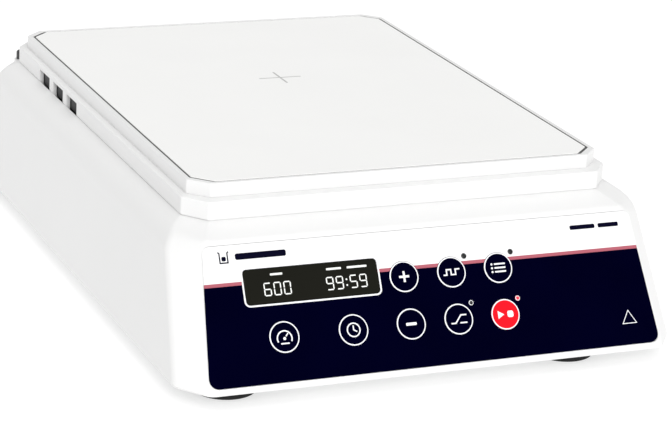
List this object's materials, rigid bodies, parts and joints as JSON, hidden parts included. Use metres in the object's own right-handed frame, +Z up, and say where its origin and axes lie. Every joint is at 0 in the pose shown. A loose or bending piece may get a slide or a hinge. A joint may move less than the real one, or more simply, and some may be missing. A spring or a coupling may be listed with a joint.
{
  "type": "magnetic stirrer",
  "caption": "Low white bench stirrer with a wide inset top plate, stepped plinth with side vents, and a navy sloping keypad front with a display.",
  "frame": {"origin": "centre of the whole object's footprint, on the surface that the feet stand on", "axes": "+Z up, +Y to the rear, +X to the right as seen from the keypad front"},
  "size_m": [0.3596, 0.502, 0.1248],
  "materials": {
    "housing": "white moulded plastic, fine satin grain",
    "tray": "white moulded plastic, satin",
    "plate": "warm white baked enamel, semi-matt",
    "overlay": "navy and white printed polyester film, satin",
    "key_navy": "navy key film with a white printed ring",
    "key_red": "red key film with a white printed ring",
    "window": "smoked clear acrylic",
    "display": "dark display glass",
    "lamp": "small translucent lamp lens",
    "rubber": "black rubber",
    "black_plastic": "black moulded plastic",
    "steel": "zinc-plated steel",
    "aluminium": "machined and cast aluminium",
    "magnet": "nickel-plated magnet",
    "board": "green circuit board with components",
    "foam": "grey foam and film"
  },
  "bodies": {
    "housing": {"housing_shell": "housing", "tray_frame": "tray", "top_plate": "plate", "plate_pad": "foam", "base_plate": "steel", "control_overlay": "overlay", "display_window": "window", "display_module": "display", "dome_sheet": "foam", "display_board": "board", "motor_bracket": "steel", "motor_body": "aluminium", "bearing_lower": "steel", "bearing_upper": "steel", "power_supply_board": "board", "control_board": "board", "mains_inlet": "black_plastic", "switch_frame": "black_plastic", "rod_socket_plug": "black_plastic", "mains_lead": "black_plastic", "power_lead": "black_plastic", "display_lead": "foam", "lamp_pulse": "lamp", "lamp_program": "lamp", "lamp_ramp": "lamp", "lamp_start": "lamp", "foot_front_left": "rubber", "foot_screw_front_left": "steel", "foot_front_right": "rubber", "foot_screw_front_right": "steel", "foot_rear_left": "rubber", "foot_screw_rear_left": "steel", "foot_rear_right": "rubber", "foot_screw_rear_right": "steel", "motor_damper_1": "rubber", "housing_screw_1": "steel", "motor_damper_2": "rubber", "housing_screw_2": "steel", "motor_damper_3": "rubber", "housing_screw_3": "steel", "motor_damper_4": "rubber", "housing_screw_4": "steel"},
    "rotor": {"motor_shaft": "steel", "magnet_carrier": "aluminium", "magnet_left": "magnet", "magnet_right": "magnet"},
    "switch": {"power_switch": "black_plastic"},
    "fuse_drawer": {"fuse_drawer": "black_plastic"},
    "key_plus": {"key_plus": "key_navy"},
    "key_pulse": {"key_pulse": "key_navy"},
    "key_program": {"key_program": "key_navy"},
    "key_minus": {"key_minus": "key_navy"},
    "key_ramp": {"key_ramp": "key_navy"},
    "key_start": {"key_start": "key_red"},
    "key_time": {"key_time": "key_navy"},
    "key_speed": {"key_speed": "key_navy"}
  },
  "joints": [
    {"name": "rotor_spin", "type": "hinge", "parent": "housing", "child": "rotor", "pos_m": [0, 0.05686, 0.06], "axis": [0, 0, 1], "continuous": true},
    {"name": "switch_rock", "type": "hinge", "parent": "housing", "child": "switch", "pos_m": [-0.058, 0.24386, 0.05], "axis": [1, 0, 0], "range_deg": [0, 16]},
    {"name": "fuse_drawer_slide", "type": "slide", "parent": "housing", "child": "fuse_drawer", "axis": [0, 1, 0], "range_m": [0, 0.014]},
    {"name": "plus_press", "type": "slide", "parent": "housing", "child": "key_plus", "axis": [0, 0.866, -0.5], "range_m": [0, 0.0005], "stiffness_N_per_m": 1500},
    {"name": "pulse_press", "type": "slide", "parent": "housing", "child": "key_pulse", "axis": [0, 0.866, -0.5], "range_m": [0, 0.0005], "stiffness_N_per_m": 1500},
    {"name": "program_press", "type": "slide", "parent": "housing", "child": "key_program", "axis": [0, 0.866, -0.5], "range_m": [0, 0.0005], "stiffness_N_per_m": 1500},
    {"name": "minus_press", "type": "slide", "parent": "housing", "child": "key_minus", "axis": [0, 0.866, -0.5], "range_m": [0, 0.0005], "stiffness_N_per_m": 1500},
    {"name": "ramp_press", "type": "slide", "parent": "housing", "child": "key_ramp", "axis": [0, 0.866, -0.5], "range_m": [0, 0.0005], "stiffness_N_per_m": 1500},
    {"name": "start_press", "type": "slide", "parent": "housing", "child": "key_start", "axis": [0, 0.866, -0.5], "range_m": [0, 0.0005], "stiffness_N_per_m": 1500},
    {"name": "time_press", "type": "slide", "parent": "housing", "child": "key_time", "axis": [0, 0.866, -0.5], "range_m": [0, 0.0005], "stiffness_N_per_m": 1500},
    {"name": "speed_press", "type": "slide", "parent": "housing", "child": "key_speed", "axis": [0, 0.866, -0.5], "range_m": [0, 0.0005], "stiffness_N_per_m": 1500}
  ]
}
